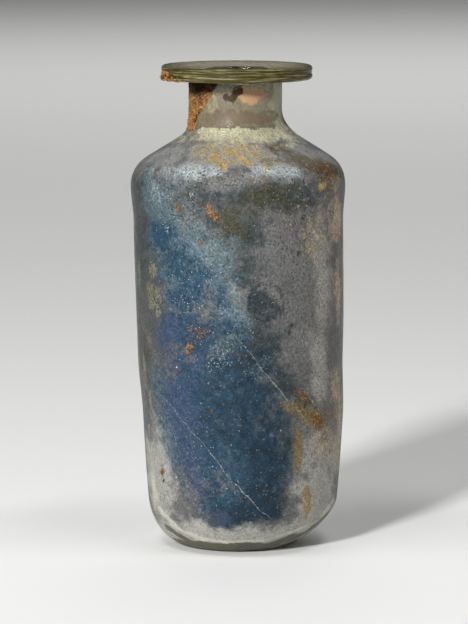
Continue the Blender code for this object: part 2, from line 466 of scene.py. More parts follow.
def dress(tree, shader, height, distance, strength, values):
    # the shader's inputs, and its normal from a bump of the height
    fillAll(tree, shader, values)
    bump = addNode(tree, "ShaderNodeBump", {"Strength": strength, "Distance": distance, "Height": height})
    tree.links.new(bump.outputs[0], shader.inputs["Normal"])


# patches of the weathering, drawn on the unrolled wall

patchRadius = 32.0  # mm, at which an azimuth is turned into a width

# Each wash is a list of ellipses: azimuth, height, half width and half height in mm, lean and strength.
washes = {
    # shoulder: pale film on the shoulder; its two patches on the band near 119.5 mm are a painted highlight
    "shoulder": [
        (-60, 122.5, 16, 5, 8, 0.8), (0, 124.0, 30, 4.0, 0, 1.0), (60, 122.5, 16, 5, -8, 0.6),
        (-35, 119.5, 12, 3, 6, 0.8), (24, 119.5, 12, 2.6, -4, 0.9),
    ],
    "warm": [(-4, 124.4, 13, 3.0, 0, 1.0), (12, 123.0, 8, 2.4, -12, 0.8), (-30, 126.6, 8, 1.5, 6, 0.5)],
    "base": [(-62, 84, 18, 46, 0, 0.9), (-20, 100, 26, 16, 0, 0.6)],
    "greyRight": [(34, 92, 15, 22, 10, 0.9), (40, 66, 10, 16, 20, 0.7)],
    # gleam: a painted highlight, the lamps' shine on the shoulder's band painted into the film's colour
    "gleam": [(-30, 119.6, 10, 1.4, 3, 1.0), (26, 119.8, 9, 1.2, -3, 1.0), (-50, 113, 3, 3, 0, 0.4)],
    "umber": [
        (44, 121.6, 9, 2.8, -18, 1.1), (60, 119.0, 7, 2.8, -12, 1.0), (34, 125.4, 7, 1.6, -12, 0.9),
        (18, 122.4, 4, 1.2, 0, 0.4),
    ],
    # mist: silvery film; its two patches on the shoulder's band near 119 mm are a painted highlight
    "mist": [
        (-28, 119.0, 11, 1.8, 4, 0.7), (25, 119.2, 9, 1.4, -4, 0.7), (-28, 106, 5, 7, 30, 0.6),
        (-15, 97, 5, 8, 38, 0.55), (-2, 81, 2.2, 6, 15, 0.8), (-10, 66, 5, 2.0, 40, 0.5),
        (-37, 22, 3, 9, 20, 0.3), (-28, 12, 4, 3, 50, 0.4), (-52, 40, 3, 8, 0, 0.3),
        (12, 61, 5, 1.2, 40, 0.25),
    ],
    "blueTint": [
        (-50, 110, 6, 8, 10, 0.9), (-40, 116, 6, 4, 0, 0.6), (-18, 90, 9, 11, 35, 1.0),
        (-34, 88, 10, 12, 0, 0.9), (-6, 78, 6, 8, 30, 0.8), (-42, 100, 8, 8, 0, 0.8),
        (-50, 46, 6, 20, 4, 0.6),
    ],
    "blue": [
        (-46, 98, 7, 5, -8, 1.0), (-38, 91, 8, 8, 20, 0.9), (-26, 83, 9, 9, 30, 0.85),
        (-12, 80, 5, 7, 30, 0.7), (-30, 70, 10, 10, 10, 1.0), (-14, 70, 8, 8, 20, 0.8),
        (-24, 52, 13, 14, 5, 1.0), (-6, 48, 12, 13, 20, 1.0), (-18, 34, 13, 14, 15, 1.0),
        (2, 32, 12, 15, 10, 1.0), (-8, 17, 11, 7, 0, 1.0), (9, 17, 8, 6, -20, 1.0),
    ],
    "violet": [
        (-43, 66, 5, 12, 0, 0.9), (-38, 45, 5, 13, 6, 0.8), (-31, 26, 5, 10, 14, 0.8),
        (-26, 12, 8, 2.6, 0, 0.7), (-48, 84, 3, 5, 0, 0.5), (-27, 62, 5, 9, 10, 0.4),
    ],
    "deep": [
        (-8, 42, 7, 8, 10, 0.5), (4, 57, 7, 7, 30, 0.6), (9, 45, 8, 9, 20, 0.6), (-6, 60, 5, 4, 30, 0.5),
        (2, 36, 6, 8, 10, 0.4), (15, 30, 6, 12, 8, 0.8), (13, 17, 8, 6.0, -20, 1.0),
        (0, 13.5, 9, 4, 0, 0.8), (-14, 50, 5, 7, 10, 0.35), (-12, 101, 3, 5, 30, 0.3),
        (-22, 20, 5, 5, 0, 0.35),
    ],
    "blotch": [(12, 79.8, 5.2, 4.2, -10, 1.0), (17, 78.4, 3.8, 4.0, 0, 0.7), (4, 85.5, 4.5, 2.2, -25, 0.6)],
    # slate: dark grey film; its strips just under the shoulder's highlight band and along the left edge are
    # painted shade
    "slate": [
        (12, 66, 8, 8, 25, 0.9), (0, 72, 6, 5, 25, 0.6), (4, 90, 7, 4, 20, 0.7), (6, 101, 4, 5, 10, 0.8),
        (25, 55, 6, 7, 30, 0.8), (34, 47, 5, 4, 30, 0.7), (24, 38, 4, 12, 6, 0.7),
        (-6, 112.6, 15, 3, 4, 0.7), (26, 112, 12, 3, -4, 0.7), (-68, 100, 6, 16, 0, 0.6),
        (-74, 70, 4, 40, 0, 0.5), (20, 20, 3, 8, 20, 0.4),
    ],
    "olive": [
        (12, 112.5, 6, 2.4, 4, 0.9), (-4, 103, 3.4, 5.4, 12, 1.0), (-9, 96, 3, 4, 20, 0.5),
        (26, 109, 5, 2, 0, 0.4), (2, 107, 5, 2.4, 30, 0.5), (-64, 62, 3, 14, 0, 0.6),
    ],
    "tan": [
        (66, 102, 6, 7, 0, 0.9), (64, 115, 5, 3, -12, 0.5), (70, 80, 3, 14, 0, 0.8), (68, 54, 5, 9, 0, 0.7),
        (54, 34, 6, 8, 10, 0.5), (76, 35, 4, 16, 0, 0.6), (46, 100, 5, 6, 0, 0.35),
    ],
    # pale: pale film; its tall strip at azimuth 50 to 54 on the right is a painted reflection of the
    # right-hand lamp
    "pale": [
        (53, 80, 4.4, 15, 0, 1.0), (50, 60, 4.6, 11, -4, 0.9), (54, 97, 4.0, 9, 0, 0.8),
        (46, 30, 7, 8, 12, 0.7), (46, 18, 8, 7, 0, 0.8), (-62, 40, 2, 6, 0, 0.4),
    ],
    "ochre": [
        (33, 46, 6, 2.2, -28, 0.8), (45, 42, 6, 2.8, -20, 0.9), (33, 33, 1.7, 9.0, 2, 1.2),
        (56, 43, 5, 2, 0, 0.5), (-55, 26, 1.0, 1.6, 0, 0.6), (58, 113, 2, 2, 0, 0.6),
    ],
    "hatch": [(41, 17, 1.7, 5.4, 8, 1.2)],
    "gold": [
        (-31, 124.9, 2.0, 0.6, 30, 1.2), (-25, 126.4, 1.9, 0.5, 4, 1.1), (-18, 123.4, 1.3, 1.5, 35, 1.2),
        (-10, 121.4, 2.0, 1.0, -30, 1.2), (-13, 128.2, 1.8, 0.35, 0, 1.0), (0, 128.0, 2.0, 0.5, 8, 1.1),
        (4, 126.0, 2.5, 0.5, -10, 1.2), (9, 124.4, 2.2, 0.6, -14, 1.1), (-5, 124.8, 1.6, 0.7, 0, 1.1),
        (2, 122.6, 2.4, 0.7, -35, 1.2), (-10, 125.4, 1.4, 0.6, 0, 1.1), (-26, 124.0, 1.6, 0.4, 20, 1.0),
        (14, 126.0, 1.2, 0.5, 0, 1.0), (16, 120.6, 0.7, 0.6, 0, 1.1), (51, 114.4, 2.2, 1.2, 20, 0.9),
    ],
    "pitMarks": [
        (37.3, 105.2, 0.7, 0.8, 0, 1.2), (34, 94.5, 0.9, 0.5, 30, 1.0), (27.5, 70.2, 0.6, 0.9, 20, 1.2),
        (29, 72.4, 0.5, 0.7, 0, 1.0), (26.9, 79.7, 0.5, 0.5, 0, 1.1), (-34.5, 57.6, 0.5, 0.5, 0, 1.2),
        (-20.5, 46.4, 0.6, 0.7, 0, 1.2), (-16, 52.9, 0.5, 0.6, 0, 1.2), (41, 48, 1.0, 0.5, -30, 1.0),
        (37, 47, 0.7, 0.5, 0, 1.0), (60, 31, 0.5, 0.7, 0, 0.9), (45, 46, 0.6, 0.5, 0, 1.0),
    ],
    "flakes": [
        (-54, 88, 2.2, 2.6, 10, 0.8), (-57, 80, 2.4, 4.4, 5, 0.9), (-50, 81, 2.8, 4.2, -15, 0.9),
        (-50, 75, 1.4, 3.0, 0, 0.7), (-68, 56, 1.0, 5.0, 4, 0.9), (-64, 48, 1.0, 3.0, 0, 0.8),
        (-72, 84, 1.2, 5.0, 0, 0.6), (-60, 66, 1.4, 2.4, 0, 0.6),
    ],
    "pinkSpecks": [(-20, 71, 6, 3.0, 25, 1.0), (-32, 58, 6, 10, 0, 0.35), (-34, 34, 5, 8, 10, 0.35)],
    # sparkle: where the film has its pits and its painted glint specks
    "sparkle": [
        (-28, 118, 13, 4, 6, 1.0), (20, 119, 13, 3, -4, 0.9), (-30, 106, 9, 9, 30, 0.8),
        (-22, 84, 11, 8, 30, 0.9), (-14, 68, 12, 6, 30, 1.0), (10, 60, 12, 6, 38, 0.6),
        (-5, 24, 18, 14, 0, 0.35), (40, 90, 16, 26, 0, 0.5),
    ],
    "brownSpecks": [
        (-10, 117.5, 16, 2.4, 0, 0.7), (54, 119, 11, 5, -10, 1.1), (60, 102, 10, 10, 0, 1.0),
        (42, 103, 8, 7, 0, 0.8), (38, 121, 8, 3, 0, 0.6), (40, 46, 8, 3, -28, 1.0), (58, 40, 7, 6, 0, 0.7),
        (-58, 22, 4, 5, 0, 0.4),
    ],
    # heelGlow: painted light, the bright band that light refracted through the thick base makes
    "heelGlow": [
        (-54, 10.4, 8, 1.0, -26, 1.0), (-36, 6.2, 9, 0.8, -14, 1.1), (-14, 4.3, 10, 0.6, -3, 1.1),
        (10, 4.4, 8, 0.5, 2, 0.9), (36, 6.6, 8, 0.6, 12, 0.6), (66, 13, 5, 1.0, 34, 0.6),
        (-68, 20, 2.0, 8, 0, 0.7),
    ],
    # heelDark: dark olive line along the foot, the thick glass's tint with painted shade where the bottle
    # meets the floor
    "heelDark": [
        (-6, 1.6, 60, 1.7, 0, 1.4), (-48, 5.0, 10, 1.2, -18, 1.2), (40, 3.8, 12, 1.8, 8, 1.3),
        (60, 6.6, 8, 1.6, 26, 0.9), (-28, 13, 7, 2.2, -14, 0.4),
    ],
    "neckPeach": [
        (18, 141.2, 8.6, 2.4, 4, 1.4), (31, 141.8, 7.0, 1.4, -4, 1.2), (8, 142.8, 6.0, 1.3, 0, 1.2),
    ],
    "neckBrown": [
        (-4, 141.2, 3.6, 1.5, 24, 1.3), (2, 142.5, 2.8, 1.1, 10, 1.2), (-13, 140.8, 3.6, 0.9, -8, 1.2),
    ],
    # neckLight: painted light, mostly on the neck's right side
    "neckLight": [(64, 139, 8, 9, 0, 1.0), (48, 137, 4, 3, 0, 0.6), (-34, 139, 5, 3.5, 0, 0.3)],
    "neckShade": [(-22, 145.0, 16, 1.2, 0, 1.1), (-10, 143.6, 5, 0.7, 0, 0.8)],
    "neckBand": [
        (-22, 134.4, 16, 2.4, 3, 0.8), (8, 134.4, 14, 1.6, -3, 1.0), (40, 134.8, 10, 1.6, 0, 0.8),
        (-34, 137.5, 5, 3.0, 0, 0.4),
    ],
}
crispWashes = ("gold", "hatch", "neckPeach", "neckBrown", "pitMarks")
wideWashes = ("deep", "slate", "olive", "blue", "violet", "gleam", "pale", "greyRight")
backWashes = {
    # size of its patches in metres, the part of the back that it takes, its lowest and highest place in mm,
    # and how softly it ends
    "shoulder": (0.020, 0.60, 116, 127, 0.8),
    "base": (0.024, 0.45, 12, 116, 0.8),
    "greyRight": (0.022, 0.40, 14, 118, 0.8),
    "blueTint": (0.018, 0.30, 20, 112, 0.7),
    "blue": (0.022, 0.34, 10, 104, 0.6),
    "violet": (0.012, 0.16, 12, 90, 0.6),
    "deep": (0.014, 0.20, 10, 74, 0.6),
    "slate": (0.016, 0.24, 20, 118, 0.6),
    "olive": (0.010, 0.12, 30, 116, 0.5),
    "mist": (0.010, 0.24, 20, 118, 0.5),
    "tan": (0.010, 0.08, 24, 112, 0.35),
    "pale": (0.015, 0.20, 8, 98, 0.6),
    "ochre": (0.007, 0.07, 14, 60, 0.3),
    "flakes": (0.006, 0.06, 30, 100, 0.25),
    "gold": (0.004, 0.05, 119, 129, 0.12),
    "sparkle": (0.012, 0.40, 20, 122, 0.4),
    "brownSpecks": (0.012, 0.25, 12, 120, 0.4),
    "neckBand": (0.008, 0.45, 132, 138, 0.3),
    "neckPeach": (0.005, 0.10, 137, 145, 0.12),
}
filmPlaces = {
    # degrees and mm
    "backStart": 74.0,
    "backFade": 16.0,
    "backEnds": 9.0,
    "creamTop": 131.4,
    "creamFoot": 125.8,
    "creamFade": 5.0,
    "heelTop": 15.0,
    "heelFade": 9.0,
    "footTop": 0.5,
    "blisterAzimuth": 14.6,
    "blisterHeight": 79.8,
    "blisterRadius": 5.4,
    "blisterLine": 0.32,
    "clearSides": [(-62, 22, 9, 13, 0, 1.0), (52, 20, 11, 13, 0, 0.8)],
}


def turnOff(azimuth, middle):
    # the difference of two azimuths, between -180 and 180
    return (azimuth - middle + 180.0) % 360.0 - 180.0


def dabMask(azimuth, height, dabs, noise, soft, ragged):
    # the strongest ellipse: 1 where its distance, less noise, is under 1, and 0 past the soft edge
    total = np.zeros(np.shape(azimuth))
    for middle, up, wide, tall, lean, strength in dabs:
        x = np.radians(turnOff(azimuth, middle)) * patchRadius
        y = height * 1000.0 - up
        turn = math.radians(lean)
        across = (x * math.cos(turn) + y * math.sin(turn)) / wide
        along = (y * math.cos(turn) - x * math.sin(turn)) / tall
        reach = np.sqrt(across**2 + along**2) - ragged * noise
        total = np.maximum(total, strength * smoothStep((1.0 + 0.5 * soft - reach) / soft))
    return total


def twisted(azimuth, height):
    # radius * (sin, -cos) of azimuth + 1.5 degrees a mm, and 0.3 * height: patterns lean and stretch
    turn = np.radians(azimuth + 1500.0 * height)
    radius = patchRadius / 1000.0
    return np.stack([radius * np.sin(turn), -radius * np.cos(turn), 0.3 * height], -1)


def frontWash(key, dabs, azimuth, height, warp, fine, tiny):
    # its ellipses, with a small ragged edge where it is crisp and a long soft one where it is wide
    if key in crispWashes:
        return dabMask(azimuth, height, dabs, 0.6 * fine + 0.7 * tiny, 0.5, 0.9)
    soft = 1.6 if key in wideWashes else 0.9
    return dabMask(azimuth, height, dabs, 1.3 * warp + 0.5 * fine, soft, 1.2)


def backWash(key, seed, points, drawn, up, warp):
    # noise over the level that leaves its share, between its lowest and highest place
    size, share, low, high, spread = backWashes[key]
    cloud = 0.7 * fractalNoise(points, size, seed, 5) + 0.5 * fractalNoise(drawn, size * 0.5, 70, 5)
    level = np.quantile(cloud, 1.0 - share)
    ends = filmPlaces["backEnds"]
    inside = smoothStep((up - low) / ends + warp) * smoothStep((high - up) / ends + warp)
    return inside * smoothStep(0.5 + (cloud - level) / spread)


def blisterRing(azimuth, up, fine):
    # exp(-(distance from a wavy ring / line)^2), broken by noise
    f = filmPlaces
    across = np.radians(turnOff(azimuth, f["blisterAzimuth"])) * patchRadius
    ring = np.hypot(across, (up - f["blisterHeight"]) * 0.94) - f["blisterRadius"] - 2.2 * fine
    return np.exp(-((ring / f["blisterLine"]) ** 2)) * smoothStep(0.9 + fine * 2.0)


def filmMasks(points, azimuth, height):
    # every mask of the film, from 0 to 1, at each point of its grid
    f = filmPlaces
    drawn = twisted(azimuth, height)
    warp = 0.8 * fractalNoise(points, 0.010, 3, 6) + 0.4 * fractalNoise(drawn, 0.005, 23, 5)
    fine = fractalNoise(points, 0.0035, 11, 4)
    tiny = fractalNoise(points, 0.0014, 15, 4)
    up = height * 1000.0
    behind = smoothStep((np.abs(azimuth) - f["backStart"]) / f["backFade"])
    masks = {}
    for number, (key, dabs) in enumerate(washes.items()):
        masks[key] = frontWash(key, dabs, azimuth, height, warp, fine, tiny) * (1.0 - behind)
        if key in backWashes:
            masks[key] += behind * backWash(key, 41 + number, points, drawn, up, warp)
    jagged = f["creamTop"] + 1.6 * fine + 1.5 * warp + 1.4 * tiny
    lower = f["creamFoot"] + 5.0 * warp + 1.5 * np.cos(np.radians(azimuth - 10.0))
    masks["neck"] = smoothStep((up - jagged) / 0.25)
    # the cream ring fades to 0.45 of its strength towards the sides: painted shade where it turns away from
    # the front
    facing = np.abs(np.cos(np.radians(azimuth - 6.0)))
    masks["cream"] = (1.0 - masks["neck"]) * smoothStep(0.5 + (up - lower) / f["creamFade"])
    masks["cream"] *= mix(0.45, 1.0, smoothStep((facing - 0.35 + 1.2 * fine) / 0.45))
    heel = smoothStep((f["heelTop"] + 14.0 * warp - up) / f["heelFade"])
    sides = dabMask(azimuth, height, f["clearSides"], warp + fine, 1.2, 0.9)
    masks["clear"] = np.clip(np.maximum(heel, sides) * (1.0 - masks["blue"]), 0.0, 1.0)
    masks["blisterRing"] = blisterRing(azimuth, up, fine)
    masks["foot"] = smoothStep((f["footTop"] - up) / 0.4)
    masks["drawn"] = drawn
    return masks


# glass

glassLooks = {
    "tints": (rgb(0.95, 0.96, 0.90), rgb(0.88, 0.88, 0.78)),
    "rimTints": (rgb(0.46, 0.42, 0.20), rgb(0.78, 0.72, 0.46)),
    "ior": 1.5,
    "absorbed": rgb(0.52, 0.52, 0.18),
    "density": 75.0,
    "columns": 240,
}


def makeGlass():
    # clear on the body and tinted on the rim, with streaks drawn out upwards
    material, tree, shader, place = newMaterial("oliveGlass")
    stretched = addNode(tree, "ShaderNodeMapping", {"Vector": place, "Scale": (1.0, 1.0, 9.0)}).outputs[0]
    streaks = grain(tree, stretched, 0.012, 5.0, 1.6)
    tint = colourMix(tree, streaks, *glassLooks["tints"])
    rimTint = colourMix(tree, streaks, *glassLooks["rimTints"])
    haze = grain(tree, place, 0.0011, 5.0, 1.6)
    height = maths(tree, "ADD", times(tree, streaks, 0.7), grain(tree, place, 0.006, 2.0, 1.0))
    dress(tree, shader, height, 0.0005, 0.6, {
        "Base Color": colourMix(tree, maskNamed(tree, "rim"), tint, rimTint),
        "Transmission Weight": 1.0,
        "Metallic": 0.0,
        "IOR": glassLooks["ior"],
        "Roughness": timesPlus(tree, times(tree, haze, streaks), 0.30, 0.02),
    })
    absorbed = {"Color": glassLooks["absorbed"], "Density": glassLooks["density"]}
    absorption = addNode(tree, "ShaderNodeVolumeAbsorption", absorbed)
    tree.links.new(absorption.outputs[0], tree.nodes["Material Output"].inputs["Volume"])
    return material


def reworked(mesh, change):
    # the mesh after a change to its bmesh
    work = bmesh.new()
    work.from_mesh(mesh)
    change(work)
    work.to_mesh(mesh)
    work.free()
    return mesh


def mergePoles(work):
    # one point in place of each ring of radius 0
    bmesh.ops.remove_doubles(work, verts=work.verts, dist=1e-7)


def ringAzimuths(columns):
    # equal steps from -180 up to, but not with, 180
    return np.linspace(-180.0, 180.0, columns, endpoint=False)[None, :]


def makeShell():
    # the whole outline, outside and inside, turned about the bottle's axis
    outline = np.vstack([outside, rimCurve(underside), inside[::-3]])
    outline[-1] = (0.0, bottleSizes["kickHeight"] + bottleSizes["baseThickness"])
    grid = inPlace(outline[:, :1], outline[:, 1:], ringAzimuths(glassLooks["columns"]))
    rim = smoothStep((grid[..., 2] - underside + 0.0006) / 0.0006)
    mesh = reworked(gridMesh("glassBottle", grid, masks={"rim": rim}), mergePoles)
    shell = finished(mesh, makeGlass())
    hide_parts("bottle")


# weathering film on the outside of the glass

filmLayers = [
    # mask, size of the noise on its edge in metres, amount, softness, strength, darker and lighter colour
    ("base", 0.0030, 0.8, 0.45, 0.90, rgb(0.050, 0.056, 0.056), rgb(0.100, 0.108, 0.106)),
    # shoulder: pale film, partly a painted highlight on the shoulder's band
    ("shoulder", 0.0040, 0.8, 0.48, 0.88, rgb(0.20, 0.205, 0.20), rgb(0.37, 0.375, 0.365)),
    ("warm", 0.0030, 0.8, 0.48, 0.75, rgb(0.28, 0.235, 0.15), rgb(0.52, 0.45, 0.30)),
    ("greyRight", 0.0030, 0.8, 0.45, 0.80, rgb(0.115, 0.113, 0.112), rgb(0.22, 0.215, 0.208)),
    # slate: dark grey film, partly painted shade under the shoulder's band and on the left edge
    ("slate", 0.0024, 1.0, 0.55, 0.95, rgb(0.014, 0.024, 0.027), rgb(0.042, 0.058, 0.062)),
    ("olive", 0.0020, 1.1, 0.55, 0.85, rgb(0.026, 0.027, 0.013), rgb(0.080, 0.076, 0.038)),
    ("blueTint", 0.0020, 1.0, 0.50, 0.80, rgb(0.050, 0.100, 0.135), rgb(0.150, 0.220, 0.250)),
    ("blue", 0.0016, 1.0, 0.50, 1.0, rgb(0.003, 0.024, 0.054), rgb(0.018, 0.066, 0.108)),
    ("deep", 0.0030, 1.2, 0.60, 0.92, rgb(0.001, 0.005, 0.011), rgb(0.003, 0.022, 0.040)),
    ("blotch", 0.0016, 0.9, 0.50, 0.85, rgb(0.005, 0.015, 0.024), rgb(0.022, 0.040, 0.050)),
    ("violet", 0.0014, 1.3, 0.50, 0.62, rgb(0.026, 0.038, 0.100), rgb(0.064, 0.078, 0.145)),
    # mist: silvery film, on the shoulder's band a painted highlight
    ("mist", 0.0009, 1.6, 0.45, 0.60, rgb(0.045, 0.066, 0.072), rgb(0.26, 0.305, 0.30)),
    ("clear", 0.0030, 0.7, 0.50, 0.90, rgb(0.48, 0.465, 0.42), rgb(0.78, 0.765, 0.70)),
    # gleam: painted highlight on the shoulder
    ("gleam", 0.0012, 0.9, 0.60, 0.82, rgb(0.18, 0.21, 0.22), rgb(0.62, 0.68, 0.68)),
    ("umber", 0.0022, 0.9, 0.50, 0.92, rgb(0.040, 0.028, 0.010), rgb(0.14, 0.105, 0.052)),
    # pale: pale film, partly a painted reflection of the right-hand lamp
    ("pale", 0.0020, 0.9, 0.55, 0.72, rgb(0.27, 0.26, 0.235), rgb(0.47, 0.455, 0.405)),
    ("tan", 0.0014, 1.1, 0.45, 0.85, rgb(0.24, 0.185, 0.105), rgb(0.72, 0.57, 0.37)),
    ("ochre", 0.0010, 1.1, 0.45, 0.80, rgb(0.080, 0.058, 0.018), rgb(0.29, 0.205, 0.080)),
    ("hatch", 0.0006, 1.8, 0.30, 0.95, rgb(0.16, 0.105, 0.04), rgb(0.50, 0.36, 0.17)),
    ("flakes", 0.0009, 1.8, 0.30, 0.80, rgb(0.09, 0.09, 0.045), rgb(0.34, 0.325, 0.20)),
    ("gold", 0.0005, 1.5, 0.25, 0.92, rgb(0.22, 0.135, 0.04), rgb(0.70, 0.50, 0.21)),
    ("pitMarks", 0.0006, 1.4, 0.35, 0.75, rgb(0.004, 0.007, 0.009), rgb(0.020, 0.030, 0.036)),
    ("cream", 0.0018, 0.8, 0.40, 0.92, rgb(0.44, 0.42, 0.28), rgb(0.80, 0.77, 0.54)),
    # heelGlow: painted light in the heel
    ("heelGlow", 0.0024, 0.5, 0.48, 0.75, rgb(0.42, 0.40, 0.33), rgb(0.86, 0.84, 0.74)),
    # heelDark: glass tint and painted shade at the foot
    ("heelDark", 0.0024, 0.5, 0.45, 0.90, rgb(0.010, 0.011, 0.002), rgb(0.085, 0.086, 0.030)),
    ("neck", 0.0008, 0.4, 0.15, 1.0, rgb(0.17, 0.145, 0.095), rgb(0.36, 0.305, 0.205)),
    # neckLight: painted light on the neck
    ("neckLight", 0.0020, 0.8, 0.50, 0.92, rgb(0.42, 0.40, 0.28), rgb(0.84, 0.80, 0.58)),
    ("neckBand", 0.0012, 0.9, 0.30, 0.85, rgb(0.095, 0.066, 0.036), rgb(0.20, 0.150, 0.095)),
    ("neckPeach", 0.0012, 1.3, 0.45, 0.92, rgb(0.34, 0.19, 0.09), rgb(0.54, 0.34, 0.19)),
    ("neckBrown", 0.0007, 1.3, 0.20, 0.95, rgb(0.006, 0.003, 0.001), rgb(0.075, 0.036, 0.009)),
    ("neckShade", 0.0016, 0.9, 0.40, 0.90, rgb(0.020, 0.014, 0.006), rgb(0.06, 0.045, 0.024)),
]
leaningLayers = ("blueTint", "pale", "violet")
filmSpecks = [
    # ruling mask, share with it and elsewhere, size in metres, coverage, reach, strength, random
    # number that parts dark from light (0 blends them), darker and lighter colour, and height
    ("sparkle", 0.50, 0.45, 0.0009, 0.65, 0.34, 1.00, 0.0,
     rgb(0.02, 0.022, 0.024), rgb(0.02, 0.022, 0.024), -0.8),
    # pale specks: painted glints, the film's sparkle painted into its colour
    ("sparkle", 0.85, 0.15, 0.0010, 0.60, 0.14, 0.85, 0.0,
     rgb(0.38, 0.46, 0.48), rgb(0.38, 0.46, 0.48), 0.8),
    # dark pits, and pale specks that are painted glints
    ("sparkle", 0.55, 0.30, 0.0007, 0.50, 0.30, 1.00, 0.58,
     rgb(0.012, 0.014, 0.016), rgb(0.46, 0.52, 0.52), 0.9),
    ("brownSpecks", 1.0, 0.0, 0.0011, 0.85, 0.42, 1.00, 0.0,
     rgb(0.07, 0.04, 0.012), rgb(0.62, 0.42, 0.19), 0.6),
    ("pinkSpecks", 1.0, 0.0, 0.0010, 0.60, 0.22, 1.00, 0.0,
     rgb(0.42, 0.16, 0.07), rgb(0.56, 0.42, 0.32), 0.0),
]
filmLooks = {
    "columns": 400,
    "rows": 248,
    "lift": 0.00004,
    "bare": (rgb(0.085, 0.088, 0.09), rgb(0.175, 0.172, 0.165)),
    "outline": rgb(0.012, 0.016, 0.018),
    "smoothParts": (("heelGlow", 0.6), ("clear", 0.55), ("shoulder", 0.35), ("heelDark", 0.6)),
    "thickParts": ("neckPeach", "neckBrown", "neckBand", "heelGlow", "heelDark"),
    "bumpDepth": 0.00024,
}


def filmGrit(tree, fineGrain, crumbs):
    # fine + 0.72 * crumbs + 0.19 as a grey, blended towards white where the film is smooth
    gritty = timesPlus(tree, crumbs, 0.72, timesPlus(tree, fineGrain, 1.0, 0.19))
    smooth = timesPlus(tree, maskNamed(tree, "cream"), 0.55, maskNamed(tree, "neck"))
    for key, share in filmLooks["smoothParts"]:
        smooth = timesPlus(tree, maskNamed(tree, key), share, smooth, clamp=True)
    grey = addNode(tree, "ShaderNodeCombineColor", {0: gritty, 1: gritty, 2: gritty}).outputs[0]
    return colourMix(tree, timesPlus(tree, smooth, 0.70, 0.22), grey, rgb(1.0, 1.0, 1.0))


def addSpecks(tree, place, colour, height, notNeck):
    # specks * (mask * share + share elsewhere), in the colour and the height; sparkle leaves out the neck
    for key, share, elsewhere, size, coverage, reach, strength, split, dark, light, raised in filmSpecks:
        specks, kind = speckle(tree, place, size, coverage, reach)
        there = times(tree, specks, timesPlus(tree, maskNamed(tree, key), share, elsewhere))
        if key == "sparkle":
            there = times(tree, there, notNeck)
        tone = maths(tree, "GREATER_THAN", kind, split) if split else kind
        toned = colourMix(tree, tone, dark, light)
        colour = colourMix(tree, times(tree, there, strength), colour, toned)
        height = timesPlus(tree, times(tree, there, kind) if split else there, raised, height)
    return colour, height


def filmMetal(tree, notNeck):
    # 0.55 * the larger of mist and 0.80 - 0.85 * blue, but none on the neck and the heel's dark line
    silvery = timesPlus(tree, maskNamed(tree, "blue"), -0.85, 0.80)
    silvery = times(tree, maths(tree, "MAXIMUM", silvery, maskNamed(tree, "mist")), 0.55)
    silvery = times(tree, silvery, oneMinus(tree, maskNamed(tree, "heelDark")))
    return maths(tree, "MULTIPLY", silvery, notNeck, clamp=True)


def filmCover(tree, place):
    # 0.97 - 0.30 * clear - 0.40 * neck + 0.35 * each thick part - 0.45 * foot
    clear = broken(tree, place, maskNamed(tree, "clear"), 0.0030, 0.7, 0.50)
    cover = timesPlus(tree, clear, -0.30, 0.97)
    cover = timesPlus(tree, maskNamed(tree, "neck"), -0.40, cover)
    for key in filmLooks["thickParts"]:
        cover = timesPlus(tree, maskNamed(tree, key), 0.35, cover)
    return timesPlus(tree, maskNamed(tree, "foot"), -0.45, cover, clamp=True)


def makeFilmMaterial():
    # the layers over the bare film, darkened by grit, then specked, with the blister's outline on top
    material, tree, shader, place = newMaterial("weatheringFilm")
    drawn = addNode(tree, "ShaderNodeAttribute", attribute_name="drawn").outputs["Vector"]
    fineGrain = grain(tree, place, 0.0006, 6.0, 2.4)
    coarseGrain = grain(tree, place, 0.0022, 5.0, 1.8)
    crumbs = speckle(tree, place, 0.00050, 1.0, 0.45)[1]
    notNeck = oneMinus(tree, maskNamed(tree, "neck"))
    shade = timesPlus(tree, grain(tree, drawn, 0.0016, 5.0, 2.2), 0.5, times(tree, fineGrain, 0.2))
    shade = timesPlus(tree, coarseGrain, 0.3, shade)
    colour = colourMix(tree, grain(tree, place, 0.010, 5.0, 1.8), *filmLooks["bare"])
    for key, size, amount, soft, strength, dark, light in filmLayers:
        around = drawn if key in leaningLayers else place
        edge = broken(tree, around, maskNamed(tree, key), size, amount, soft)
        colour = colourMix(tree, times(tree, edge, strength), colour, colourMix(tree, shade, dark, light))
    colour = colourMix(tree, 1.0, colour, filmGrit(tree, fineGrain, crumbs), "MULTIPLY")
    height = timesPlus(tree, fineGrain, 0.7, times(tree, coarseGrain, 0.6))
    height = timesPlus(tree, crumbs, 0.5, height)
    colour, height = addSpecks(tree, place, colour, height, notNeck)
    outline = times(tree, maskNamed(tree, "blisterRing"), 0.75)
    height = timesPlus(tree, outline, -0.8, height)
    height = times(tree, height, timesPlus(tree, notNeck, 0.85, 0.15))
    neckRough = timesPlus(tree, maskNamed(tree, "neck"), 0.10, 0.26)
    dress(tree, shader, height, filmLooks["bumpDepth"], 1.0, {
        "Base Color": colourMix(tree, outline, colour, filmLooks["outline"]),
        "Roughness": timesPlus(tree, shade, 0.22, neckRough),
        "Specular IOR Level": 0.24,
        "Metallic": filmMetal(tree, notNeck),
        "Alpha": filmCover(tree, place),
    })
    return material


def lengthAlong(curve):
    # the running sum of the steps between its points
    return np.concatenate([[0.0], np.cumsum(np.linalg.norm(np.diff(curve, axis=0), axis=1))])


def evenly(curve, length, count):
    # points at equal steps of length, and their lengths
    even = np.linspace(0.0, length[-1], count)
    return np.stack([np.interp(even, length, curve[:, i]) for i in (0, 1)], 1), even


